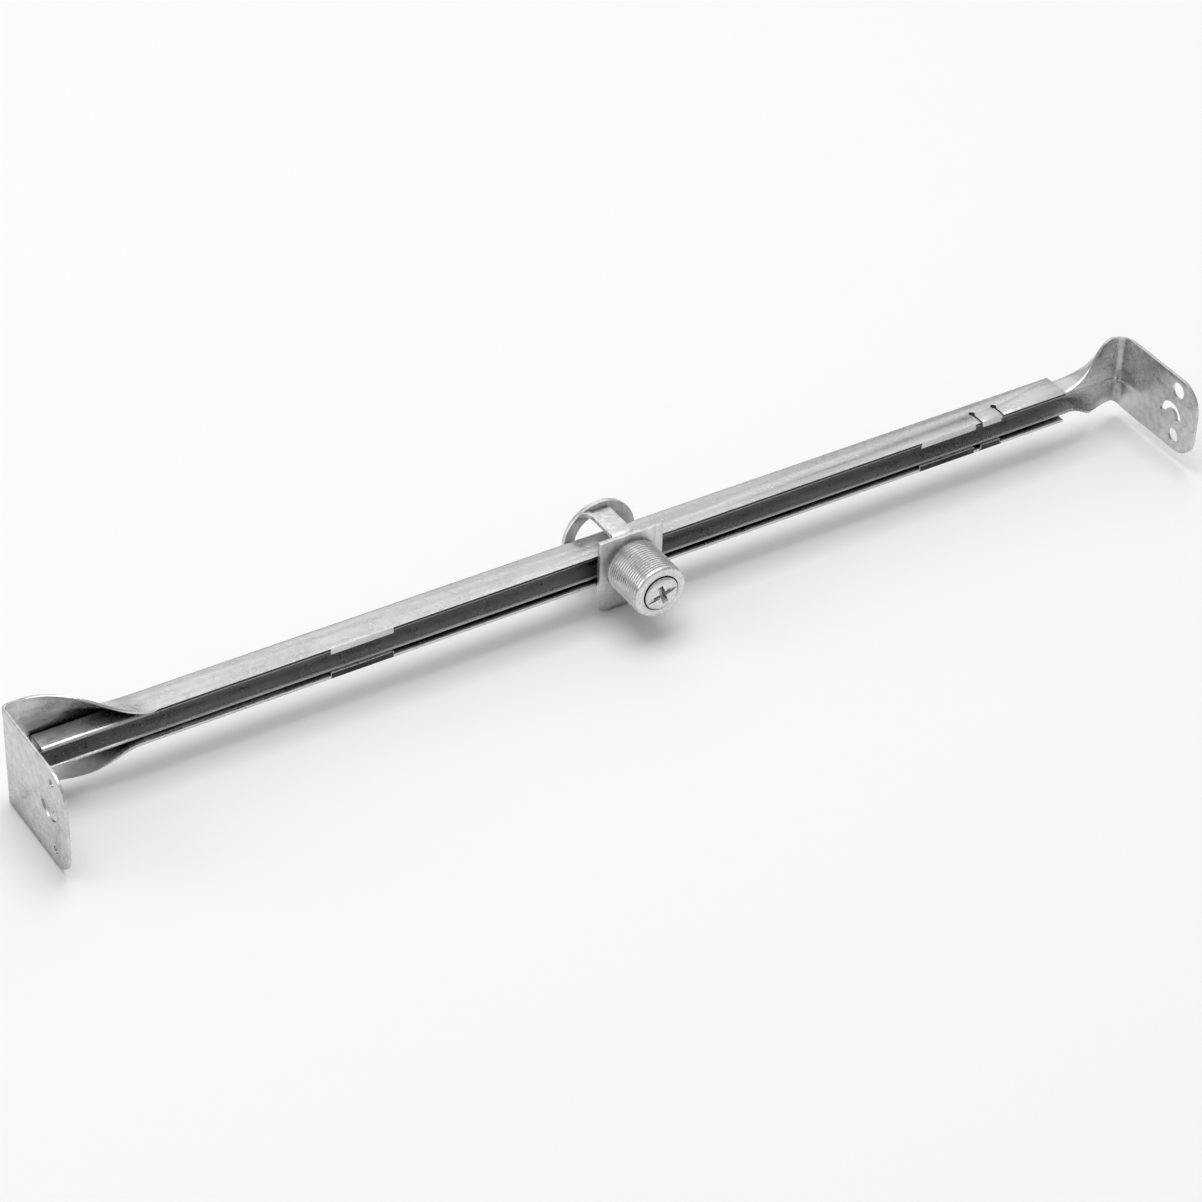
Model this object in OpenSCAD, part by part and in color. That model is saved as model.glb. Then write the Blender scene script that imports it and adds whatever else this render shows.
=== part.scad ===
// Adjustable bar hanger: two telescoping steel channels with end flanges,
// and a sliding clip that carries a threaded fixture stud with a clamp screw.
// Millimetres, +Z up, +X along the bars, -Y the way the stud and both flanges point.
// The origin is on the stud's axis, where the stud meets the clip's front face.

/* [Strip] */
// Thickness of the steel strip of both bars
strip_t = 0.9; // [0.75:0.05:1.1]
// Outer radius of the channels' long corners
corner_r = 1.4; // [1.3:0.05:1.8]
// Running gap between the two channels
bar_gap = 0.3; // [0.2:0.05:0.5]

/* [Outer bar] */
// Height of the outer channel
outer_h = 10.6; // [10:0.1:12]
// Depth of the outer channel
outer_d = 10.5; // [9.5:0.1:12]
// Stud axis to the outer face of the left flange
left_reach = 191.7; // [160:1:240]
// Stud axis to the free end of the outer bar
outer_free_reach = 156.4; // [146:0.2:156.6]
// Middle of the bar to the top edge of the left flange
left_top = 15.9; // [14.5:0.1:18]
// Middle of the bar to the bottom edge of the left flange
left_bottom = 16.5; // [14.5:0.1:18]
// Length of the left flange from the bar's back
left_flange_len = 39.6; // [38:0.2:50]
// Length over which the upper wall opens out flat at the left end
left_flare_top = 36; // [28:1:40]
// Length over which the lower wall opens out flat at the left end
left_flare_bottom = 30; // [24:1:40]
// Half width of the opened lower strip at the left end
left_strip_bottom = 14; // [13.6:0.1:16]
// Flat stretch between the left bend and the flare
left_flat = 3.8; // [1:0.2:6]

/* [Inner bar] */
// Stud axis to the outer face of the right flange
right_reach = 184.9; // [180:1:230]
// Stud axis to the free end of the inner bar, inside the left flare
inner_free_reach = 184; // [150:1:185]
// Middle of the bar to the top edge of the right flange
right_top = 12.6; // [12.2:0.1:16]
// Middle of the bar to the bottom edge of the right flange
right_bottom = 12.8; // [12.2:0.1:16]
// Length of the right flange from the bar's back
right_flange_len = 38; // [37:0.2:50]
// Length over which the upper wall opens out flat at the right end
right_flare_top = 24; // [18:1:24]
// Length over which the lower wall opens out flat at the right end
right_flare_bottom = 21; // [14:1:24]
// Half width of the opened lower strip at the right end
right_strip_bottom = 11; // [10.8:0.1:14]
// Flat stretch between the right bend and the flare
right_flat = 1; // [0.6:0.2:2]
// How far the inner channel's front edges curl inward past its walls
inner_lip = 0.25; // [0.1:0.05:0.3]

/* [Flanges] */
// Outer radius of the left bend between bar and flange
left_bend_r = 2.2; // [1.5:0.1:3]
// Outer radius of the right bend between bar and flange
right_bend_r = 3; // [1.5:0.1:3.5]
// Corner radius of the flange tips
tip_r = 8.2; // [6:0.2:8.2]
// Bar's back to the middle of the left flange's prong slot
left_slot_v = 28.8; // [26:0.1:30]
// Bar's back to the middle of the right flange's prong slot
right_slot_v = 26.4; // [25:0.1:28]
// Middle of the bar to the middle of a prong slot
slot_z = 2.4; // [0:0.1:3]
// Radius of the middle line of the prong slots
slot_mid_r = 3.85; // [3.5:0.05:4]
// Width of the prong slots
slot_w = 2.4; // [1.5:0.1:2.6]
// Radius of the left flange's pilot holes
pilot_r = 1.1; // [0.8:0.05:1.5]
// Bar's back to the left flange's pilot holes
pilot_v = 31.4; // [29:0.1:33]
// Middle of the bar to the left flange's pilot holes
pilot_z = 11.5; // [9:0.1:12]
// Radius of the right flange's upper nail hole
upper_nail_r = 2.75; // [2:0.05:3]
// Radius of the right flange's lower nail hole
lower_nail_r = 2.35; // [2:0.05:3]
// Bar's back to the right flange's nail holes
nail_v = 28.5; // [27:0.1:30]
// Middle of the bar to the right flange's nail holes
nail_z = 8.1; // [7.4:0.1:8.4]

/* [Crimps and stop] */
// How far a crimp reaches inward from the wall of the outer channel
crimp_reach = 1.2; // [0.8:0.1:1.3]
// Middle of the left crimp from the stud axis
left_crimp_x = -87; // [-100:1:-60]
// Middle of the right crimp from the stud axis
right_crimp_x = 113; // [60:1:113]
// Length of a crimp
crimp_len = 20; // [8:1:20]
// Middle of the stop tab from the stud axis
stop_x = 129; // [128:1:136]
// Width of the stop tab between its two relief cuts
stop_w = 8; // [5:0.5:9]
// Relief hole radius of the stop tab
relief_r = 0.9; // [0.6:0.1:1.2]
// Width of the relief cuts beside the stop tab
relief_cut = 0.5; // [0.3:0.1:0.8]

/* [Clip] */
// Thickness of the clip's strap
clip_t = 1.4; // [1.2:0.1:1.8]
// Gap between the clip's front plate and the bars
clip_gap = 0.35; // [0.3:0.05:0.8]
// Width of the front plate
plate_w = 21; // [18:0.2:24]
// Top of the front plate above the stud axis
plate_top = 10.4; // [9.4:0.1:12]
// Bottom of the front plate below the stud axis
plate_drop = 16.8; // [13:0.2:17]
// Corner radius of the plate's bottom
plate_r = 6; // [2:0.5:7]
// Radius of the backward curl of the plate's lower part
curl_r = 20; // [16:1:40]
// Width of the two straps that pass over and under the bars
strap_w = 6.8; // [5:0.2:12]
// Middle of the straps from the stud axis
strap_x = -1.9; // [-4:0.1:2]
// Outer corner radius of the strap loop
strap_r = 3; // [2:0.2:3.4]
// Space behind the bars inside the clip, the travel of the clamp
clamp_travel = 3.6; // [2:0.1:5]
// Radius of the web that joins each strap's left side to the ring
web_r = 3.2; // [1:0.2:4]
// Middle of the back ring from the stud axis
ring_x = -1; // [-1.2:0.1:1]
// Outer radius of the back ring
ring_r = 12; // [11:0.1:14]
// Radius of the eye in the back ring
eye_r = 8; // [7:0.1:8.4]
// Middle of the eye from the stud axis
eye_x = -1.5; // [-2:0.1:0]

/* [Stud and screw] */
// Outer radius of the fixture stud's thread
stud_r = 8.55; // [8:0.05:9]
// Length of the stud from the clip's front face
stud_len = 16.2; // [12:0.2:20]
// Chamfer of the stud's end
stud_chamfer = 0.6; // [0.3:0.1:1]
// Radius of the spigot that holds the stud in the clip
spigot_r = 4.2; // [3.6:0.1:5]
// Radius of the clamp screw's shank
screw_r = 2.4; // [2:0.05:2.5]
// Radius of the clamp screw's head
head_r = 5.4; // [4.4:0.1:5.4]
// Thickness of the clamp screw's head
head_t = 2.6; // [2:0.1:3]
// How far the clamp screw's head stands out of the stud's end
head_proud = 1.2; // [0.2:0.1:1.6]
// Running clearance of the screw in the stud
screw_gap = 0.06; // [0.03:0.01:0.1]
// Gap between the screw's tip and the inner bar's web
tip_gap = 0.8; // [0.4:0.1:2]

/* [Hidden] */
$fn = 64;
eps = 0.01;
fold_steps = 6;
lip_steps = 4;
flare_steps = 16;
bend_steps = 6;
tip_steps = 7;
lip_angle = 60;
edge_len = 1;
flat_web = 3;
flat_fold = 6;
tip_web = 1.2;
tip_fold = 1.6;
head_chamfer = 0.6;
head_gap = 0.4;
recess_w = 1.3;
recess_len = 5;
recess_share = 0.55;
slot_share = 0.4;

bars_front = clip_t + clip_gap;
bars_back = bars_front + outer_d;
inner_back = bars_back - strip_t - bar_gap;
inner_h = outer_h - 2*(strip_t + bar_gap);
inner_d = outer_d - 2*(strip_t + bar_gap);
ring_front = bars_back + clamp_travel;
clip_back = ring_front + clip_t;
outer_len = left_reach + outer_free_reach;
inner_len = right_reach + inner_free_reach;
bore_r = screw_r + screw_gap;
head_recess_r = head_r + head_gap;
head_recess = head_t - head_proud;
screw_tip = inner_back - strip_t - tip_gap;

// Smooth 0 to 1 step
function smooth(u) = u*u*(3 - 2*u);

// Points of an arc of a given length that turns away from p, which is [depth, height, heading]
function arc_on(p, turn, length, steps) =
    let (rho = turn > 0.5 ? length*180/(PI*turn) : 0)
    [for (i = [1:steps]) let (a = turn*i/steps, l = length*i/steps)
        rho > 0 ? [p[0] + rho*(cos(p[2]) - cos(p[2] + a)), p[1] + rho*(sin(p[2] + a) - sin(p[2])), p[2] + a]
                : [p[0] + l*sin(p[2]), p[1] + l*cos(p[2]), p[2]]];

// One half of a strip's middle line, from the end of the web out to its tip.
// The wall turns by fold degrees over fold_len, and its edge by lip_turn over lip_len.
function half_line(half_len, web, fold, fold_len, lip_turn, lip_len) =
    let (
        bend = concat([[0, web, 0]], arc_on([0, web, 0], fold, fold_len, fold_steps)),
        last = bend[fold_steps],
        wall = half_len - web - fold_len - lip_len,
        edge = [last[0] + wall*sin(fold), last[1] + wall*cos(fold), fold])
    concat(bend, [edge], arc_on(edge, lip_turn, lip_len, lip_steps));

// Moves a middle line sideways by d, towards the outside of the channel
function side(line, d) = [for (p = line) [p[0] - d*cos(p[2]), p[1] + d*sin(p[2])]];
function flip_z(line) = [for (p = line) [p[0], -p[1]]];
function backwards(list) = [for (i = [len(list) - 1:-1:0]) list[i]];

// Closed outline of a folded strip from its upper and lower half, outside first
function section(top, bottom) = concat(
    backwards(flip_z(side(bottom, strip_t/2))), side(top, strip_t/2),
    backwards(side(top, -strip_t/2)), flip_z(side(bottom, -strip_t/2)));

// Places an outline at a station: p is the web's place and a is the turn of the bend
function placed(outline, p, a) =
    [for (q = outline) [p[0] + q[0]*sin(a), p[1] - q[0]*cos(a), q[1]]];

// Triangles between rings of n points, and across the two open ends
function skin(rings, n) = [for (k = [0:rings - 2]) for (i = [0:n - 1])
    let (a = k*n + i, b = k*n + (i + 1)%n)
    each [[a, b, b + n], [a, b + n, a + n]]];
function cap(first, n, turn) = [for (i = [0:n/2 - 2])
    let (a = first + i, b = a + 1, c = first + n - 2 - i, d = c + 1)
    each turn ? [[a, c, b], [a, d, c]] : [[a, b, c], [a, c, d]]];

// A channel of height h and depth d, flared flat at one end and bent into a flange.
// The flange's outer face is at x = 0, the web's back at y = 0 and the free end at x = length.
// top and bottom are each [flare length, half width of the flat strip, half width of the flange].
module formed_bar(length, h, d, lip, bend_r, flat, top, bottom, flange_len) {
    lip_turn = lip > 0 ? lip_angle : 0;
    lip_r = lip/(1 - cos(lip_angle)) + strip_t/2;
    lip_len = lip > 0 ? lip_r*lip_turn*PI/180 : edge_len;
    lip_depth = lip > 0 ? (lip_r + strip_t/2)*sin(lip_turn) : edge_len;
    web = h/2 - corner_r;
    fold_len = (corner_r - strip_t/2)*PI/2;
    open_len = web + fold_len + d - corner_r - lip_depth + lip_len;
    flat_x = bend_r + flat;
    flare = max(top[0], bottom[0]);

    function blend(a, b, s) = a + (b - a)*s;
    function half_at(half, x) =
        let (s = smooth(min(max((x - flat_x)/half[0], 0), 1)))
        half_line(blend(half[1], open_len, s), blend(flat_web, web, s), 90*s,
            blend(flat_fold, fold_len, s), lip_turn*s, lip_len);
    function bent_half(half, s) = half_line(blend(half[1], half[2], s), blend(flat_web, tip_web, s),
        0, blend(flat_fold, tip_fold, s), 0, lip_len);
    function tip_half(half, a) = half_line(half[2] - tip_r*(1 - cos(a)), tip_web, 0, tip_fold, 0, lip_len);

    stations = concat([length], [for (i = [flare_steps:-1:0]) flat_x + flare*i/flare_steps]);
    swept = [for (x = stations)
        placed(section(half_at(top, x), half_at(bottom, x)), [x, -strip_t/2], 0)];
    bent = [for (i = [0:bend_steps])
        let (s = i/bend_steps, a = 90*s, r = bend_r - strip_t/2)
        placed(section(bent_half(top, s), bent_half(bottom, s)), [bend_r - r*sin(a), r*cos(a) - bend_r], a)];
    tip = [for (i = [0:tip_steps])
        let (a = 90*i/tip_steps)
        placed(section(tip_half(top, a), tip_half(bottom, a)),
            [strip_t/2, tip_r*(1 - sin(a)) - flange_len], 90)];
    rings = concat(swept, bent, tip);
    n = len(rings[0]);
    polyhedron(
        points = [for (r = rings) each r],
        faces = concat(skin(len(rings), n), cap(0, n, true), cap((len(rings) - 1)*n, n, false)));
}

// A hole through a flange, v from the bar's back and z from the middle
module flange_hole(v, z, r) {
    translate([-1, -v, z]) rotate([0, 90, 0]) cylinder(r = r, h = strip_t + 2);
}

// Half of a ring slot, which leaves a nail prong; up is 1 for the upper half and -1 for the lower
module prong_slot(v, up) {
    z = -up*slot_z;
    difference() {
        flange_hole(v, z, slot_mid_r + slot_w/2);
        flange_hole(v, z, slot_mid_r - slot_w/2);
        translate([-2, -v - 10, z - (up > 0 ? 20 : 0)]) cube([strip_t + 4, 20, 20]);
    }
}

// A pair of wall edges of the outer channel turned inward, from x over length
module crimp(x, length) {
    for (s = [-1, 1])
        translate([x, strip_t/2 - outer_d, s*(outer_h - strip_t - crimp_reach)/2])
            cube([length, strip_t, strip_t + crimp_reach], center = true);
}

module outer_bar() {
    top = [left_flare_top, left_top, left_top];
    bottom = [left_flare_bottom, left_strip_bottom, left_bottom];
    color("silver")
    translate([-left_reach, bars_back, 0])
    difference() {
        union() {
            formed_bar(outer_len, outer_h, outer_d, 0, left_bend_r, left_flat, top, bottom, left_flange_len);
            crimp(left_reach + left_crimp_x, crimp_len);
            crimp(left_reach + right_crimp_x, crimp_len);
            crimp(left_reach + stop_x, stop_w - 1);
        }
        for (s = [-1, 1])
            flange_hole(pilot_v, s*pilot_z, pilot_r);
        prong_slot(left_slot_v, -1);
        for (s = [-1, 1])
            translate([left_reach + stop_x + s*stop_w/2, -outer_d/2, 0]) {
                cylinder(r = relief_r, h = outer_h);
                translate([-relief_cut/2, -outer_d, 0]) cube([relief_cut, outer_d, outer_h]);
            }
    }
}

module inner_bar() {
    top = [right_flare_top, right_top, right_top];
    bottom = [right_flare_bottom, right_strip_bottom, right_bottom];
    color("gainsboro")
    translate([right_reach, inner_back, 0])
    mirror([1, 0, 0])
    difference() {
        formed_bar(inner_len, inner_h, inner_d, inner_lip, right_bend_r, right_flat, top, bottom,
            right_flange_len);
        flange_hole(nail_v, nail_z, upper_nail_r);
        flange_hole(nail_v, -nail_z, lower_nail_r);
        prong_slot(right_slot_v, 1);
    }
}

// Lies in the XZ plane with its front at y = 0 and goes back by t
module upright(t) {
    translate([0, t, 0]) rotate([90, 0, 0]) linear_extrude(height = t) children();
}

module plate_outline() {
    translate([-plate_w/2, plate_r - plate_drop]) square([plate_w, plate_top + plate_drop - plate_r]);
    translate([plate_r - plate_w/2, -plate_drop]) square([plate_w - 2*plate_r, 2*plate_r]);
    for (s = [-1, 1])
        translate([s*(plate_w/2 - plate_r), plate_r - plate_drop]) circle(r = plate_r);
}

// The front plate, flat behind the stud and curled back below it
module front_plate() {
    curl_z = -outer_h/2 - 1;
    intersection() {
        upright(clip_t + curl_r/2) plate_outline();
        union() {
            translate([-plate_w, 0, curl_z]) cube([2*plate_w, clip_t, plate_top - curl_z]);
            intersection() {
                translate([-plate_w, curl_r, curl_z]) rotate([0, 90, 0]) difference() {
                    cylinder(r = curl_r, h = 2*plate_w);
                    translate([0, 0, -1]) cylinder(r = curl_r - clip_t, h = 2*plate_w + 2);
                }
                translate([-plate_w, 0, curl_z - curl_r]) cube([2*plate_w, curl_r, curl_r]);
            }
        }
    }
}

module rounded_rect(w, h, r) {
    translate([-w/2 + r, -h/2]) square([w - 2*r, h]);
    translate([-w/2, -h/2 + r]) square([w, h - 2*r]);
    for (i = [-1, 1]) for (j = [-1, 1])
        translate([i*(w/2 - r), j*(h/2 - r)]) circle(r = r);
}

// A strap that goes over the bars, down behind them and back under them
module strap_loop() {
    translate([strap_x - strap_w/2, clip_back/2, 0])
    rotate([90, 0, 90])
    linear_extrude(height = strap_w)
    difference() {
        rounded_rect(clip_back, 2*plate_top, strap_r);
        rounded_rect(clip_back - 2*clip_t, 2*(plate_top - clip_t), strap_r - clip_t);
    }
}

// Rounded webs between the straps' left side and the front of the ring, kept inside its outline
module strap_webs() {
    side = strap_x - strap_w/2;
    intersection() {
        for (foot = [plate_top - clip_t, -plate_top])
            translate([side - web_r, ring_front - web_r, foot])
            linear_extrude(height = clip_t)
            difference() {
                square(web_r + clip_t/2);
                circle(r = web_r);
            }
        translate([ring_x, ring_front - web_r, 0]) upright(web_r + clip_t/2) circle(r = ring_r);
    }
}

module stud_clip() {
    color("lightgray")
    difference() {
        union() {
            front_plate();
            strap_loop();
            strap_webs();
            translate([ring_x, ring_front, 0]) upright(clip_t) circle(r = ring_r);
        }
        translate([eye_x, ring_front - eps, 0]) upright(clip_t + 1) circle(r = eye_r);
        translate([0, -1, 0]) upright(clip_t + 2) circle(r = spigot_r + 0.05);
    }
}

module fixture_stud() {
    color("whitesmoke")
    rotate([90, 0, 0])
    difference() {
        union() {
            translate([0, 0, -clip_t]) cylinder(r = spigot_r, h = clip_t + 1);
            cylinder(r = stud_r, h = stud_len - stud_chamfer);
            translate([0, 0, stud_len - stud_chamfer])
                cylinder(r1 = stud_r, r2 = stud_r - stud_chamfer, h = stud_chamfer);
        }
        translate([0, 0, -clip_t - 1]) cylinder(r = bore_r, h = stud_len + clip_t + 2);
        translate([0, 0, stud_len - head_recess]) cylinder(r = head_recess_r, h = head_recess + 1);
    }
}

// The screw's head has a cross recess, and a shallower slot over its full width
module clamp_screw() {
    shank_len = stud_len - head_recess + screw_tip;
    color("whitesmoke")
    translate([0, head_recess - stud_len, 0])
    rotate([90, 0, 0]) {
        translate([0, 0, -shank_len]) cylinder(r = screw_r, h = shank_len + head_t/2);
        difference() {
            union() {
                cylinder(r = head_r, h = head_t - head_chamfer);
                translate([0, 0, head_t - head_chamfer])
                    cylinder(r1 = head_r, r2 = head_r - head_chamfer, h = head_chamfer);
            }
            translate([0, 0, head_t])
                cube([recess_w, 2*head_r + 1, 2*slot_share*head_t], center = true);
            translate([0, 0, head_t])
                cube([recess_len, recess_w, 2*recess_share*head_t], center = true);
            translate([0, 0, head_t])
                cube([recess_w, recess_len, 2*recess_share*head_t], center = true);
        }
    }
}

outer_bar();
inner_bar();
stud_clip();
fixture_stud();
clamp_screw();
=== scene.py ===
import math

import bpy
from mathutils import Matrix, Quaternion, Vector


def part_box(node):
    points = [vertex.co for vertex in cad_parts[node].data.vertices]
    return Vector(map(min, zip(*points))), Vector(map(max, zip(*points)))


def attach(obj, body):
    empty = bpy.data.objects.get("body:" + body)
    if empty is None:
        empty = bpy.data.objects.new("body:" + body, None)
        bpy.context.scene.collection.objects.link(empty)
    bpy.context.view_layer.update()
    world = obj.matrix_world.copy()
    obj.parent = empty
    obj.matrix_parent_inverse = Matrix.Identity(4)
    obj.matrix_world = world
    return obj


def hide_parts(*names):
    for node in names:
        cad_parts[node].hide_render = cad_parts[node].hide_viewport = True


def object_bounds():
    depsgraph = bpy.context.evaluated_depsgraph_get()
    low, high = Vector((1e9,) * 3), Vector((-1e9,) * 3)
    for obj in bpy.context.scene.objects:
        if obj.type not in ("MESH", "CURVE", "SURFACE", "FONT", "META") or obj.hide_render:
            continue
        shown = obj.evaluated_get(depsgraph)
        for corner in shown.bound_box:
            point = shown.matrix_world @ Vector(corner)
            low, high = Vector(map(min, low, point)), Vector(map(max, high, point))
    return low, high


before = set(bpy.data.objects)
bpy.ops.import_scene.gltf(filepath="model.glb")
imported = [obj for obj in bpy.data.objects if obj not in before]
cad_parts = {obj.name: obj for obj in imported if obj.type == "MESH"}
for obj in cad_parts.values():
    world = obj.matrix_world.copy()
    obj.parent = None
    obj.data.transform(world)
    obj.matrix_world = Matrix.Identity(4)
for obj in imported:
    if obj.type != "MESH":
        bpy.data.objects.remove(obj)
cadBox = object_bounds()
mm = 0.001


def deselectAll():
    if bpy.context.object and bpy.context.object.mode != "OBJECT":
        bpy.ops.object.mode_set(mode="OBJECT")
    bpy.ops.object.select_all(action="DESELECT")


def makeActive(piece):
    deselectAll()
    piece.select_set(True)
    bpy.context.view_layer.objects.active = piece


def editMode(on=True):
    bpy.ops.object.mode_set(mode="EDIT" if on else "OBJECT")


def pickFaces(piece, wanted):
    # selects only the faces that wanted(centre, normal) says yes to, and leaves edit mode on
    editMode(False)
    mesh = piece.data
    for part in (mesh.vertices, mesh.edges, mesh.polygons):
        part.foreach_set("select", [False] * len(part))
    for face in mesh.polygons:
        face.select = wanted(face.center, face.normal)
    editMode()
    bpy.ops.mesh.select_mode(type="FACE")


def pickEdges(piece, wanted):
    # selects only the edges whose two ends both pass wanted(point)
    editMode(False)
    mesh = piece.data
    for part in (mesh.vertices, mesh.edges, mesh.polygons):
        part.foreach_set("select", [False] * len(part))
    for edge in mesh.edges:
        edge.select = all(wanted(mesh.vertices[i].co) for i in edge.vertices)
    editMode()
    bpy.ops.mesh.select_mode(type="EDGE")


def applyModifier(piece, kind, **settings):
    makeActive(piece)
    modifier = piece.modifiers.new(kind.title(), kind)
    for key, value in settings.items():
        setattr(modifier, key, value)
    bpy.ops.object.modifier_apply(modifier=modifier.name)


def settle(piece, name):
    # puts the place, turn and size into the mesh
    piece.name = name
    piece.data.name = name
    makeActive(piece)
    bpy.ops.object.transform_apply(location=True, rotation=True, scale=True)
    return piece


def smoothEdges(piece, degrees=38):
    makeActive(piece)
    bpy.ops.object.shade_smooth_by_angle(angle=math.radians(degrees))


view = {
    "azimuth": 32.6, "elevation": 37.3, "roll": 1.7,  # degrees
    "distance": 1.159, "target": (-0.0168, -0.0109, 0.0),
    "lens": 122.3,
}


def addCamera():
    azimuth, elevation = math.radians(view["azimuth"]), math.radians(view["elevation"])
    forward = Vector((math.sin(azimuth) * math.cos(elevation),
                      math.cos(azimuth) * math.cos(elevation), -math.sin(elevation)))
    deselectAll()
    bpy.ops.object.camera_add(location=Vector(view["target"]) - forward * view["distance"])
    camera = bpy.context.object
    turn = forward.to_track_quat("-Z", "Y") @ Quaternion((0, 0, 1), math.radians(view["roll"]))
    camera.rotation_euler = turn.to_euler()
    camera.data.lens = view["lens"]
    camera.data.sensor_width = 36
    camera.data.clip_start = 0.01
    bpy.context.scene.camera = camera


addCamera()
print("camera placed")


def newGroup(name, inputs, outputs):
    # an empty shader group with its sockets, for the finishes to share
    group = bpy.data.node_groups.new(name, "ShaderNodeTree")
    for label, kind, value in inputs:
        socket = group.interface.new_socket(name=label, in_out="INPUT", socket_type=kind)
        if value is not None:
            socket.default_value = value
    for label, kind in outputs:
        group.interface.new_socket(name=label, in_out="OUTPUT", socket_type=kind)
    ins = group.nodes.new("NodeGroupInput")
    outs = group.nodes.new("NodeGroupOutput")
    ins.location, outs.location = (-900, 0), (700, 0)
    return group, ins, outs


def addNode(tree, kind, place, **settings):
    node = tree.nodes.new(kind)
    node.location = place
    for key, value in settings.items():
        setattr(node, key, value)
    return node


def addMath(tree, place, operation, first, second, clamp=False):
    node = addNode(tree, "ShaderNodeMath", place, operation=operation, use_clamp=clamp)
    for socket, value in zip(node.inputs, (first, second)):
        if isinstance(value, (int, float)):
            socket.default_value = value
        else:
            tree.links.new(value, socket)
    return node.outputs[0]


def rolledStreaksGroup():
    # long soft streaks that run along the strip
    group, ins, outs = newGroup(
        "rolledStreaks",
        [("Vector", "NodeSocketVector", None), ("Along", "NodeSocketFloat", 30.0),
         ("Across", "NodeSocketFloat", 900.0), ("Soft", "NodeSocketFloat", 0.5)],
        [("Value", "NodeSocketFloat")])
    links = group.links
    scale = addNode(group, "ShaderNodeCombineXYZ", (-680, -120))
    links.new(ins.outputs["Along"], scale.inputs[0])
    links.new(ins.outputs["Across"], scale.inputs[1])
    links.new(ins.outputs["Across"], scale.inputs[2])
    stretch = addNode(group, "ShaderNodeVectorMath", (-480, 0), operation="MULTIPLY")
    links.new(ins.outputs["Vector"], stretch.inputs[0])
    links.new(scale.outputs[0], stretch.inputs[1])
    noise = addNode(group, "ShaderNodeTexNoise", (-280, 0))
    noise.inputs["Scale"].default_value = 1.0
    noise.inputs["Detail"].default_value = 4.0
    links.new(stretch.outputs[0], noise.inputs["Vector"])
    links.new(ins.outputs["Soft"], noise.inputs["Roughness"])
    ramp = addNode(group, "ShaderNodeMapRange", (-60, 0), interpolation_type="SMOOTHSTEP")
    ramp.inputs["From Min"].default_value = 0.34
    ramp.inputs["From Max"].default_value = 0.68
    links.new(noise.outputs[0], ramp.inputs["Value"])
    links.new(ramp.outputs[0], outs.inputs["Value"])
    return group


def zincBloomGroup():
    # cloudy patches of the zinc coat with a faint crystal pattern in them
    group, ins, outs = newGroup(
        "zincBloom",
        [("Vector", "NodeSocketVector", None), ("Cloud", "NodeSocketFloat", 90.0),
         ("Crystal", "NodeSocketFloat", 420.0), ("Crystal Share", "NodeSocketFloat", 0.3)],
        [("Value", "NodeSocketFloat"), ("Fine", "NodeSocketFloat")])
    links = group.links
    cloud = addNode(group, "ShaderNodeTexNoise", (-480, 160))
    cloud.inputs["Detail"].default_value = 5.0
    cloud.inputs["Roughness"].default_value = 0.6
    cloud.inputs["Distortion"].default_value = 0.6
    links.new(ins.outputs["Vector"], cloud.inputs["Vector"])
    links.new(ins.outputs["Cloud"], cloud.inputs["Scale"])
    crystal = addNode(group, "ShaderNodeTexVoronoi", (-480, -160))
    links.new(ins.outputs["Vector"], crystal.inputs["Vector"])
    links.new(ins.outputs["Crystal"], crystal.inputs["Scale"])
    grey = addNode(group, "ShaderNodeRGBToBW", (-260, -200))
    links.new(crystal.outputs["Color"], grey.inputs[0])
    blend = addNode(group, "ShaderNodeMix", (-40, 60), data_type="FLOAT")
    links.new(ins.outputs["Crystal Share"], blend.inputs["Factor"])
    links.new(cloud.outputs[0], blend.inputs["A"])
    links.new(grey.outputs[0], blend.inputs["B"])
    ramp = addNode(group, "ShaderNodeMapRange", (180, 60), interpolation_type="SMOOTHSTEP")
    ramp.inputs["From Min"].default_value = 0.3
    ramp.inputs["From Max"].default_value = 0.7
    links.new(blend.outputs[0], ramp.inputs["Value"])
    links.new(ramp.outputs[0], outs.inputs["Value"])
    links.new(grey.outputs[0], outs.inputs["Fine"])
    return group


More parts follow.
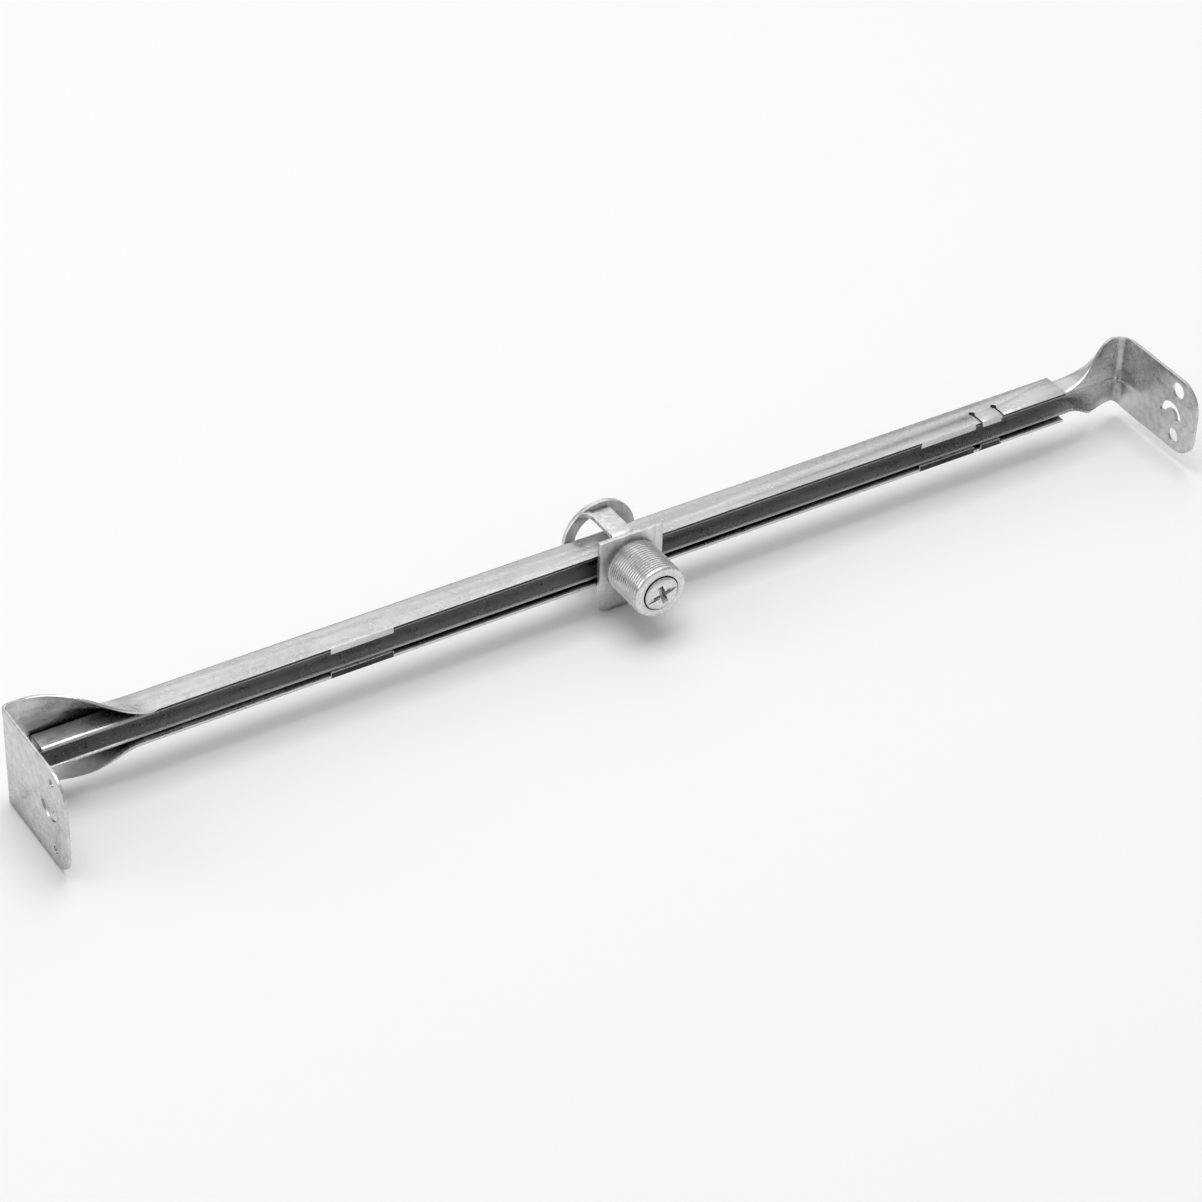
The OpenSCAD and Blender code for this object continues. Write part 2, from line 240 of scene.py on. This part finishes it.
def handlingMarksGroup():
    # fine broken scratches that run mostly along X
    group, ins, outs = newGroup(
        "handlingMarks",
        [("Vector", "NodeSocketVector", None), ("Size", "NodeSocketFloat", 260.0),
         ("Amount", "NodeSocketFloat", 0.3)],
        [("Mask", "NodeSocketFloat")])
    links = group.links
    warp = addNode(group, "ShaderNodeTexNoise", (-680, -160))
    warp.inputs["Scale"].default_value = 60.0
    links.new(ins.outputs["Vector"], warp.inputs["Vector"])
    shift = addNode(group, "ShaderNodeVectorMath", (-480, -160), operation="SCALE")
    shift.inputs["Scale"].default_value = 0.004
    links.new(warp.outputs["Color"], shift.inputs[0])
    moved = addNode(group, "ShaderNodeVectorMath", (-300, 0), operation="ADD")
    links.new(ins.outputs["Vector"], moved.inputs[0])
    links.new(shift.outputs[0], moved.inputs[1])
    squeeze = addNode(group, "ShaderNodeVectorMath", (-120, 0), operation="MULTIPLY")
    squeeze.inputs[1].default_value = (0.1, 1.0, 1.0)  # ten times as long as wide
    links.new(moved.outputs[0], squeeze.inputs[0])
    lines = addNode(group, "ShaderNodeTexVoronoi", (60, 0), feature="DISTANCE_TO_EDGE")
    links.new(squeeze.outputs[0], lines.inputs["Vector"])
    links.new(ins.outputs["Size"], lines.inputs["Scale"])
    thin = addMath(group, (240, 0), "LESS_THAN", lines.outputs["Distance"], 0.014)
    gaps = addNode(group, "ShaderNodeTexNoise", (60, -240))
    gaps.inputs["Scale"].default_value = 220.0
    links.new(ins.outputs["Vector"], gaps.inputs["Vector"])
    some = addMath(group, (240, -240), "GREATER_THAN", gaps.outputs[0], 0.56)
    both = addMath(group, (420, 0), "MULTIPLY", thin, some)
    mask = addMath(group, (560, 0), "MULTIPLY", both, ins.outputs["Amount"])
    links.new(mask, outs.inputs["Mask"])
    return group


def paintedSeamShadeGroup():
    # 1 in the open and lower where faces meet closely: painted shade in seams and recesses, taken
    # from ambient occlusion
    group, ins, outs = newGroup(
        "paintedSeamShade",
        [("Reach", "NodeSocketFloat", 0.004), ("Strength", "NodeSocketFloat", 0.5)],
        [("Value", "NodeSocketFloat")])
    links = group.links
    near = addNode(group, "ShaderNodeAmbientOcclusion", (-480, 0), samples=8)
    links.new(ins.outputs["Reach"], near.inputs["Distance"])
    less = addMath(group, (-260, 0), "SUBTRACT", 1.0, near.outputs["AO"])
    part = addMath(group, (-60, 0), "MULTIPLY", less, ins.outputs["Strength"])
    rest = addMath(group, (140, 0), "SUBTRACT", 1.0, part, clamp=True)
    links.new(rest, outs.inputs["Value"])
    return group


rolledStreaks = rolledStreaksGroup()
zincBloom = zincBloomGroup()
handlingMarks = handlingMarksGroup()
paintedSeamShade = paintedSeamShadeGroup()
print("shader groups made")


def metalFinish(name, look):
    # bare metal under streaks, zinc clouds, scratches and painted shade in seams and recesses
    material = bpy.data.materials.new(name)
    material.use_nodes = True
    tree = material.node_tree
    links = tree.links
    shader = tree.nodes["Principled BSDF"]
    shader.location = (700, 0)
    tree.nodes["Material Output"].location = (1000, 0)
    shader.inputs["Metallic"].default_value = 1.0
    shader.inputs["Anisotropic"].default_value = look["brushed"]
    place = addNode(tree, "ShaderNodeTexCoord", (-1100, 0))
    turned = addNode(tree, "ShaderNodeMapping", (-920, 0))
    turned.inputs["Rotation"].default_value = [math.radians(a) for a in look["grainTurn"]]
    links.new(place.outputs["Object"], turned.inputs["Vector"])
    streaks = addNode(tree, "ShaderNodeGroup", (-680, 240), node_tree=rolledStreaks)
    streaks.inputs["Along"].default_value = look["streakAlong"]
    streaks.inputs["Across"].default_value = look["streakAcross"]
    links.new(turned.outputs[0], streaks.inputs["Vector"])
    bloom = addNode(tree, "ShaderNodeGroup", (-680, 0), node_tree=zincBloom)
    bloom.inputs["Cloud"].default_value = look["cloud"]
    bloom.inputs["Crystal"].default_value = look["crystal"]
    links.new(place.outputs["Object"], bloom.inputs["Vector"])
    marks = addNode(tree, "ShaderNodeGroup", (-680, -240), node_tree=handlingMarks)
    marks.inputs["Size"].default_value = look["markSize"]
    marks.inputs["Amount"].default_value = look["markAmount"]
    links.new(turned.outputs[0], marks.inputs["Vector"])
    paintedSeamShadeNode = addNode(tree, "ShaderNodeGroup", (-680, -480), node_tree=paintedSeamShade)
    paintedSeamShadeNode.inputs["Reach"].default_value = look["paintedShadeReach"]
    paintedSeamShadeNode.inputs["Strength"].default_value = look["paintedShadeStrength"]
    streakPart = addMath(tree, (-440, 240), "MULTIPLY", streaks.outputs[0], look["streakShare"])
    bloomShare = 1 - look["streakShare"]
    bloomPart = addMath(tree, (-440, 60), "MULTIPLY", bloom.outputs["Value"], bloomShare)
    tone = addMath(tree, (-260, 160), "ADD", streakPart, bloomPart)
    colour = addNode(tree, "ShaderNodeMix", (-60, 160), data_type="RGBA")
    colour.inputs["A"].default_value = (*look["dark"], 1)
    colour.inputs["B"].default_value = (*look["light"], 1)
    links.new(tone, colour.inputs["Factor"])
    scratched = addNode(tree, "ShaderNodeMix", (140, 160), data_type="RGBA")
    scratched.inputs["B"].default_value = (*look["markColour"], 1)
    links.new(marks.outputs[0], scratched.inputs["Factor"])
    links.new(colour.outputs["Result"], scratched.inputs["A"])
    # the colour is multiplied by the painted shade of seams and recesses
    shaded = addNode(tree, "ShaderNodeMix", (340, 160), data_type="RGBA", blend_type="MULTIPLY")
    shaded.inputs["Factor"].default_value = 1.0
    links.new(scratched.outputs["Result"], shaded.inputs["A"])
    links.new(paintedSeamShadeNode.outputs[0], shaded.inputs["B"])
    links.new(shaded.outputs["Result"], shader.inputs["Base Color"])
    rough = addNode(tree, "ShaderNodeMapRange", (-60, -80))
    rough.inputs["To Min"].default_value = look["roughLow"]
    rough.inputs["To Max"].default_value = look["roughHigh"]
    links.new(bloom.outputs["Value"], rough.inputs["Value"])
    links.new(rough.outputs[0], shader.inputs["Roughness"])
    fine = addMath(tree, (-260, -240), "MULTIPLY", bloom.outputs["Fine"], 0.25)
    lows = addMath(tree, (-260, -400), "ADD", tone, fine)
    height = addMath(tree, (-60, -300), "SUBTRACT", lows, marks.outputs[0])
    bump = addNode(tree, "ShaderNodeBump", (340, -240))
    bump.inputs["Strength"].default_value = look["bump"]
    bump.inputs["Distance"].default_value = look["bumpDepth"]
    links.new(height, bump.inputs["Height"])
    links.new(bump.outputs[0], shader.inputs["Normal"])
    return material


galvanizedStrip = metalFinish("galvanizedStrip", {
    "dark": (0.48, 0.485, 0.49), "light": (0.68, 0.685, 0.69),
    "markColour": (0.76, 0.76, 0.76),
    "brushed": 0.35, "grainTurn": (0, 0, 0),
    "streakAlong": 22, "streakAcross": 420, "streakShare": 0.55,
    "cloud": 80, "crystal": 900, "markSize": 330, "markAmount": 0.15,
    "paintedShadeReach": 0.005, "paintedShadeStrength": 0.65, "roughLow": 0.24, "roughHigh": 0.38,
    "bump": 0.5, "bumpDepth": 0.00008,
})
stampedSteel = metalFinish("stampedSteel", {
    "dark": (0.55, 0.555, 0.56), "light": (0.8, 0.805, 0.81),
    "markColour": (0.4, 0.4, 0.4),
    "brushed": 0.2, "grainTurn": (0, 90, 0),
    "streakAlong": 60, "streakAcross": 800, "streakShare": 0.6,
    "cloud": 160, "crystal": 1100, "markSize": 420, "markAmount": 0.3,
    "paintedShadeReach": 0.003, "paintedShadeStrength": 0.6, "roughLow": 0.3, "roughHigh": 0.46,
    "bump": 0.5, "bumpDepth": 0.00008,
})
turnedSteel = metalFinish("turnedSteel", {
    "dark": (0.58, 0.58, 0.585), "light": (0.82, 0.82, 0.825),
    "markColour": (0.35, 0.35, 0.35),
    "brushed": 0.2, "grainTurn": (0, 0, 90),
    "streakAlong": 120, "streakAcross": 900, "streakShare": 0.5,
    "cloud": 260, "crystal": 1500, "markSize": 600, "markAmount": 0.25,
    "paintedShadeReach": 0.003, "paintedShadeStrength": 0.9, "roughLow": 0.24, "roughHigh": 0.36,
    "bump": 0.25, "bumpDepth": 0.00004,
})
# near-black: a little of it is the bare steel of a sheared edge, the rest is painted shade on
# that edge and on the lower crimps
bareEdgeAndPaintedShade = metalFinish("bareEdgeAndPaintedShade", {
    "dark": (0.02, 0.02, 0.021), "light": (0.08, 0.08, 0.082),
    "markColour": (0.3, 0.3, 0.3),
    "brushed": 0.0, "grainTurn": (0, 0, 0),
    "streakAlong": 80, "streakAcross": 900, "streakShare": 0.6,
    "cloud": 300, "crystal": 1500, "markSize": 600, "markAmount": 0.2,
    "paintedShadeReach": 0.002, "paintedShadeStrength": 0.6, "roughLow": 0.4, "roughHigh": 0.55,
    "bump": 0.5, "bumpDepth": 0.00008,
})
print("finishes made")


copyCare = {"mergeWithin": 0.004, "flatWithin": 0.3}  # mm, degrees


def finerCopy(node, name):
    # a merged copy of a node's mesh with its flat areas joined into single faces
    piece = bpy.data.objects.new(name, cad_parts[node].data.copy())
    piece.data.name = name
    bpy.context.scene.collection.objects.link(piece)
    makeActive(piece)
    piece.data.materials.clear()
    editMode()
    bpy.ops.mesh.select_all(action="SELECT")
    bpy.ops.mesh.customdata_custom_splitnormals_clear()
    bpy.ops.mesh.remove_doubles(threshold=copyCare["mergeWithin"] * mm)
    bpy.ops.mesh.dissolve_limited(angle_limit=math.radians(copyCare["flatWithin"]))
    editMode(False)
    return piece


def easeCuts(piece, edge):
    # softens the cut edges of the sheet and shades the folds round
    applyModifier(piece, "BEVEL", width=edge["width"] * mm, segments=edge["segments"],
                  limit_method="ANGLE", angle_limit=math.radians(edge["angle"]))
    smoothEdges(piece, edge["smooth"])


outerBarLook = {
    "width": 0.14, "segments": 2, "angle": 48, "smooth": 34,
    "splits": (-97, -77, 103, 123, 125, 133),  # mm, ends of the crimps and of the stop tab
    "edgeLow": 4.6,  # mm, the walls' cut edges lie outside this height, and the crimps inside
    "edgeDepth": 0.2,  # mm, how far behind the front a cut edge may lie
    "barFrom": -150,  # mm, where the left flare ends
}
innerBarLook = {"width": 0.14, "segments": 2, "angle": 48, "smooth": 34}
clipLook = {
    "width": 0.22, "segments": 3, "angle": 40, "smooth": 40,
    "sideRoll": 0.8,  # mm
}


def makeOuterBar():
    piece = finerCopy("outer_bar", "outerChannel")
    for place in outerBarLook["splits"]:
        pickFaces(piece, lambda c, n: n.y < -0.95)
        bpy.ops.mesh.bisect(plane_co=(place * mm, 0, 0), plane_no=(1, 0, 0))
    editMode(False)
    easeCuts(piece, outerBarLook)
    piece.data.materials.append(galvanizedStrip)
    piece.data.materials.append(bareEdgeAndPaintedShade)
    front = min(v.co.y for v in piece.data.vertices if v.co.x > 0)
    edgeBack = front + outerBarLook["edgeDepth"] * mm

    def isBareEdgeOrPaintedShade(c, n):  # the upper wall's cut edge, whose steel is bare, and the lower crimps: both get near-black painted shade
        edge = outerBarLook["edgeLow"] * mm
        onBar = c.x > outerBarLook["barFrom"] * mm and c.y < edgeBack and n.y < -0.95
        return onBar and (c.z > edge or -edge < c.z < 0)

    # the picked faces get the second, near-black material: painted shade
    pickFaces(piece, isBareEdgeOrPaintedShade)
    piece.active_material_index = 1
    bpy.ops.object.material_slot_assign()
    editMode(False)
    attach(piece, "outer_bar")
    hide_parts("outer_bar")
    return piece


gusset = {
    # the rib across the right bend, mm; it reaches less far along the web than along the flange
    "reach": 15.0, "webShare": 0.5, "height": 3.0, "rise": 2.2, "middle": -2.2,
    "foldFrom": -0.4, "foldReach": 5.5, "foldRise": 0.32,  # the creased corner above the rib
    "dimple": 0.7, "dimpleSize": 1.5,
    # mm between cuts, times that outside the rib, and how many cuts above it
    "cuts": 0.5, "wideCuts": 1.6, "topCuts": 7,
}


def makeInnerBar():
    piece = finerCopy("inner_bar", "innerChannel")
    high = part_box("inner_bar")[1]
    corner = Vector((high.x, high.y, gusset["middle"] * mm))
    reach, height, rise = (gusset[k] * mm for k in ("reach", "height", "rise"))
    foldFrom, foldReach = gusset["foldFrom"] * mm, gusset["foldReach"] * mm
    step = gusset["cuts"] * mm
    wide, topCuts = gusset["wideCuts"], gusset["topCuts"]
    makeActive(piece)

    def cutNear(point, normal):  # only the faces near the right bend are cut
        pickFaces(piece, lambda c, n: c.x > corner.x - 3 * reach or c.y < corner.y - reach)
        bpy.ops.mesh.bisect(plane_co=point, plane_no=normal)

    for i in range(int(2 * height / step) + 1):
        cutNear((0, 0, corner.z - height + i * step), (0, 0, 1))
    for i in range(1, topCuts):
        cutNear((0, 0, corner.z + height + (high.z - corner.z - height) * i / topCuts), (0, 0, 1))
    for i in range(1, int(reach / (wide * step)) + 2):
        cutNear((corner.x - wide * i * step, 0, 0), (1, 0, 0))
        cutNear((0, corner.y - wide * i * step, 0), (0, 1, 0))
    editMode(False)
    inward = Vector((-1, -1, 0)).normalized()
    for vertex in piece.data.vertices:
        onFlange, onWeb = max(corner.y - vertex.co.y, 0), max(corner.x - vertex.co.x, 0)
        far = onFlange + onWeb
        ribReach = reach if onFlange > onWeb else gusset["webShare"] * reach
        up = abs(vertex.co.z - corner.z) / height
        if far < ribReach and up < 1:
            along = 0.5 + 0.5 * math.cos(math.pi * far / ribReach)
            over = 0.5 + 0.5 * math.cos(math.pi * up)
            vertex.co += inward * rise * along * over
        opened = foldReach * (vertex.co.z - foldFrom) / (high.z - foldFrom)
        if far < opened:
            vertex.co += inward * (opened - far) * gusset["foldRise"]
        size = gusset["dimpleSize"] * mm
        spot = far + abs(vertex.co.z - foldFrom)
        if spot < size:
            vertex.co -= inward * gusset["dimple"] * mm * (1 - spot / size)
    easeCuts(piece, innerBarLook)
    piece.data.materials.append(galvanizedStrip)
    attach(piece, "inner_bar")
    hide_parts("inner_bar")
    return piece


def makeClip():
    piece = finerCopy("stud_clip", "clipPlateAndRing")
    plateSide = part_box("stud_clip")[1].x
    tiny = 0.02 * mm
    top = max(v.co.z for v in piece.data.vertices if v.co.y < tiny)

    def onSide(p):  # the front plate's two upright front edges
        return abs(p.y) < tiny and abs(abs(p.x) - plateSide) < tiny and p.z > -top

    pickEdges(piece, onSide)
    bpy.ops.mesh.bevel(offset=clipLook["sideRoll"] * mm, segments=4, affect="EDGES")
    easeCuts(piece, clipLook)
    piece.data.materials.append(stampedSteel)
    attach(piece, "clip")
    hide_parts("stud_clip")
    return piece


makeOuterBar()
print("outer channel made")
makeInnerBar()
print("inner channel made")
makeClip()
print("clip made")


studLook = {
    "sides": 112, "thread": 0.22, "pitch": 0.95, "chamfer": 0.7,  # mm
    "threadFrom": 0.9, "threadTrim": 1.6,
    "ring": 2.75, "recess": 1.4, "bore": 2.5, "boreDepth": 4, "spigot": 4.2,
}


ridgeShape = {"foot": 1.8, "width": 0.92, "crest": 0.16, "stepsPerTurn": 56}


def threadRidge(radius, depth, pitch, start, turns, name):
    # one closed helical ridge round the Y axis; its foot lies inside the core
    deselectAll()
    bpy.ops.mesh.primitive_plane_add(size=1, location=(radius, start, 0))
    ridge = bpy.context.object
    editMode()
    bpy.ops.mesh.select_all(action="SELECT")
    foot = ridgeShape["foot"]
    bpy.ops.transform.resize(value=(foot * depth, ridgeShape["width"] * pitch, 1))
    bpy.ops.transform.translate(value=(-foot / 2 * depth, 0, 0))
    editMode(False)
    for vertex in ridge.data.vertices:
        if vertex.co.x > -0.5 * depth:
            vertex.co.y *= ridgeShape["crest"]
    makeActive(ridge)
    bpy.ops.object.transform_apply(location=True, rotation=True, scale=True)
    editMode()
    bpy.ops.mesh.select_all(action="SELECT")
    bpy.ops.mesh.delete(type="ONLY_FACE")
    editMode(False)
    steps = int(ridgeShape["stepsPerTurn"] * turns)
    applyModifier(ridge, "SCREW", axis="Y", angle=math.tau * turns, screw_offset=pitch * turns,
                  steps=steps, render_steps=steps, use_merge_vertices=False)
    editMode()
    bpy.ops.mesh.select_all(action="SELECT")
    bpy.ops.mesh.remove_doubles(threshold=0.002 * mm)
    bpy.ops.mesh.select_all(action="DESELECT")
    bpy.ops.mesh.select_mode(type="EDGE")
    bpy.ops.mesh.select_non_manifold()
    bpy.ops.mesh.fill()
    bpy.ops.mesh.select_all(action="SELECT")
    bpy.ops.mesh.normals_make_consistent(inside=False)
    editMode(False)
    return settle(ridge, name)


def makeStud():
    low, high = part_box("fixture_stud")
    radius = high.x
    core = radius - studLook["thread"] * mm
    front, back = low.y, 0.0
    deselectAll()
    bpy.ops.mesh.primitive_cylinder_add(
        vertices=studLook["sides"], radius=core, depth=back - front,
        location=(0, (front + back) / 2, 0), rotation=(math.radians(90), 0, 0))
    stud = settle(bpy.context.object, "threadedStud")
    pickFaces(stud, lambda c, n: n.y < -0.9)
    bpy.ops.mesh.inset(thickness=(core - radius) + studLook["ring"] * mm, depth=0)
    bpy.ops.mesh.extrude_region_move(
        TRANSFORM_OT_translate={"value": (0, studLook["recess"] * mm, 0)})
    bpy.ops.mesh.inset(thickness=radius - (studLook["ring"] + studLook["bore"]) * mm, depth=0)
    bpy.ops.mesh.extrude_region_move(
        TRANSFORM_OT_translate={"value": (0, studLook["boreDepth"] * mm, 0)})
    pickFaces(stud, lambda c, n: n.y > 0.9 and c.y > back - 0.1 * mm)
    bpy.ops.mesh.inset(thickness=core - studLook["spigot"] * mm, depth=0)
    bpy.ops.mesh.extrude_region_move(TRANSFORM_OT_translate={"value": (0, high.y - back, 0)})
    editMode(False)
    pickEdges(stud, lambda p: abs(p.y - front) < 1e-6 and math.hypot(p.x, p.z) > core * 0.98)
    bpy.ops.mesh.bevel(offset=studLook["chamfer"] * mm, segments=3, affect="EDGES")
    editMode(False)
    turns = (back - front - studLook["threadTrim"] * mm) / (studLook["pitch"] * mm)
    ridge = threadRidge(radius, studLook["thread"] * mm, studLook["pitch"] * mm,
                        front + studLook["threadFrom"] * mm, round(turns, 2), "studThread")
    makeActive(stud)
    ridge.select_set(True)
    bpy.ops.object.join()
    smoothEdges(stud, 30)
    stud.data.materials.append(turnedSteel)
    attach(stud, "clip")
    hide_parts("fixture_stud")
    return stud


screwLook = {
    "sides": 80, "head": 2.6, "shank": 2.4, "edge": 0.1,  # mm
    "dome": 0.9,
    # steps of the rounded head: share of its radius, and of the dome's height
    "crown": ((0.975, 0.22), (0.9, 0.5), (0.78, 0.72), (0.6, 0.86), (0.3, 1.0)),
    "recessWidth": 2.5, "recessLength": 9.0, "recessDepth": 1.9, "bladeTaper": 0.45,
    "recessTurn": -18,  # degrees
    "slotWidth": 1.2, "slotLength": 12, "slotDepth": 0.55,
    "thread": 0.3, "pitch": 0.8, "threadFrom": 0.5, "threadTrim": 1.2,
}


def makeScrew():
    low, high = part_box("clamp_screw")
    headRadius = high.x
    shank = screwLook["shank"] * mm
    headFront = low.y
    headBack = headFront + screwLook["head"] * mm
    dome = screwLook["dome"] * mm
    deselectAll()
    bpy.ops.mesh.primitive_cylinder_add(
        vertices=screwLook["sides"], radius=headRadius, depth=headBack - headFront - dome,
        location=(0, (headFront + dome + headBack) / 2, 0), rotation=(math.radians(90), 0, 0))
    screw = settle(bpy.context.object, "clampScrew")
    pickFaces(screw, lambda c, n: n.y < -0.9)
    before, rise = 1.0, 0.0
    for size, now in screwLook["crown"]:
        bpy.ops.mesh.extrude_region_move(
            TRANSFORM_OT_translate={"value": (0, -(now - rise) * dome, 0)})
        bpy.ops.transform.resize(
            value=(size / before, 1, size / before), center_override=(0, 0, 0))
        before, rise = size, now
    pickFaces(screw, lambda c, n: n.y > 0.9)
    bpy.ops.mesh.inset(thickness=headRadius - shank + screwLook["thread"] * mm, depth=0)
    bpy.ops.mesh.extrude_region_move(TRANSFORM_OT_translate={"value": (0, high.y - headBack, 0)})
    editMode(False)
    # the cross recess is cut with tapered blades, the slot with a straight one
    arm = [screwLook[k] for k in ("recessWidth", "recessLength", "recessDepth")]
    slot = [screwLook[k] for k in ("slotWidth", "slotLength", "slotDepth")]
    for width, length, depth, turn in ((*arm, 0), (*arm, 90), (*slot, 0)):
        deselectAll()
        bpy.ops.mesh.primitive_cube_add(size=1, location=(0, headFront, 0))
        blade = bpy.context.object
        blade.scale = (length * mm, 2 * depth * mm, width * mm)
        blade.rotation_euler = (0, math.radians(turn + screwLook["recessTurn"]), 0)
        settle(blade, "blade")
        if length < screwLook["slotLength"]:
            for vertex in blade.data.vertices:
                if vertex.co.y > headFront:
                    vertex.co.x *= screwLook["bladeTaper"]
                    vertex.co.z *= screwLook["bladeTaper"]
        applyModifier(screw, "BOOLEAN", operation="DIFFERENCE", object=blade, solver="EXACT")
        bpy.data.objects.remove(blade)
    applyModifier(screw, "BEVEL", width=screwLook["edge"] * mm, segments=2,
                  limit_method="ANGLE", angle_limit=math.radians(50))
    turns = (high.y - headBack - screwLook["threadTrim"] * mm) / (screwLook["pitch"] * mm)
    ridge = threadRidge(shank, screwLook["thread"] * mm, screwLook["pitch"] * mm,
                        headBack + screwLook["threadFrom"] * mm, round(turns, 2), "screwThread")
    makeActive(screw)
    ridge.select_set(True)
    bpy.ops.object.join()
    smoothEdges(screw, 32)
    screw.data.materials.append(turnedSteel)
    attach(screw, "screw")
    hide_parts("clamp_screw")
    return screw


makeStud()
print("stud made")
makeScrew()
print("clamp screw made")


studio = {
    "floor": (0.86, 0.86, 0.86), "floorSize": 12, "floorGap": 0.0002,  # m
    "softboxes": {  # place in m, width and height in m, power in W
        "backSoftbox": ((0.9, 1.4, 1.3), (1.8, 1.4), 4.6),
        "topSoftbox": ((0.0, 0.2, 1.9), (1.6, 1.2), 22.0),
        "leftSoftbox": ((-1.6, 0.7, 0.8), (1.0, 1.0), 5.0),
    },
    "world": 0.5,
}


def addFloor():
    deselectAll()
    bpy.ops.mesh.primitive_plane_add(
        size=studio["floorSize"], location=(0, 0, cadBox[0][2] - studio["floorGap"]))
    floor = bpy.context.object
    floor.name = "paleFloor"
    material = bpy.data.materials.new("paleFloor")
    material.use_nodes = True
    shader = material.node_tree.nodes["Principled BSDF"]
    shader.inputs["Base Color"].default_value = (*studio["floor"], 1)
    shader.inputs["Roughness"].default_value = 0.9
    floor.data.materials.append(material)


def addSoftbox(name, place, size, power):
    deselectAll()
    bpy.ops.object.light_add(type="AREA", location=place)
    light = bpy.context.object
    light.name = name
    light.data.shape = "RECTANGLE"
    light.data.size, light.data.size_y = size
    light.data.energy = power
    towardPart = -Vector(place)
    light.rotation_euler = towardPart.to_track_quat("-Z", "Y").to_euler()


def addWorld():
    world = bpy.data.worlds.new("studioAir")
    bpy.context.scene.world = world
    world.use_nodes = True
    ground = world.node_tree.nodes["Background"]
    ground.inputs["Color"].default_value = (1, 1, 1, 1)
    ground.inputs["Strength"].default_value = studio["world"]


addFloor()
for name, (place, size, power) in studio["softboxes"].items():
    addSoftbox(name, place, size, power)
addWorld()
bpy.context.scene.view_settings.view_transform = "Standard"
print("studio set")
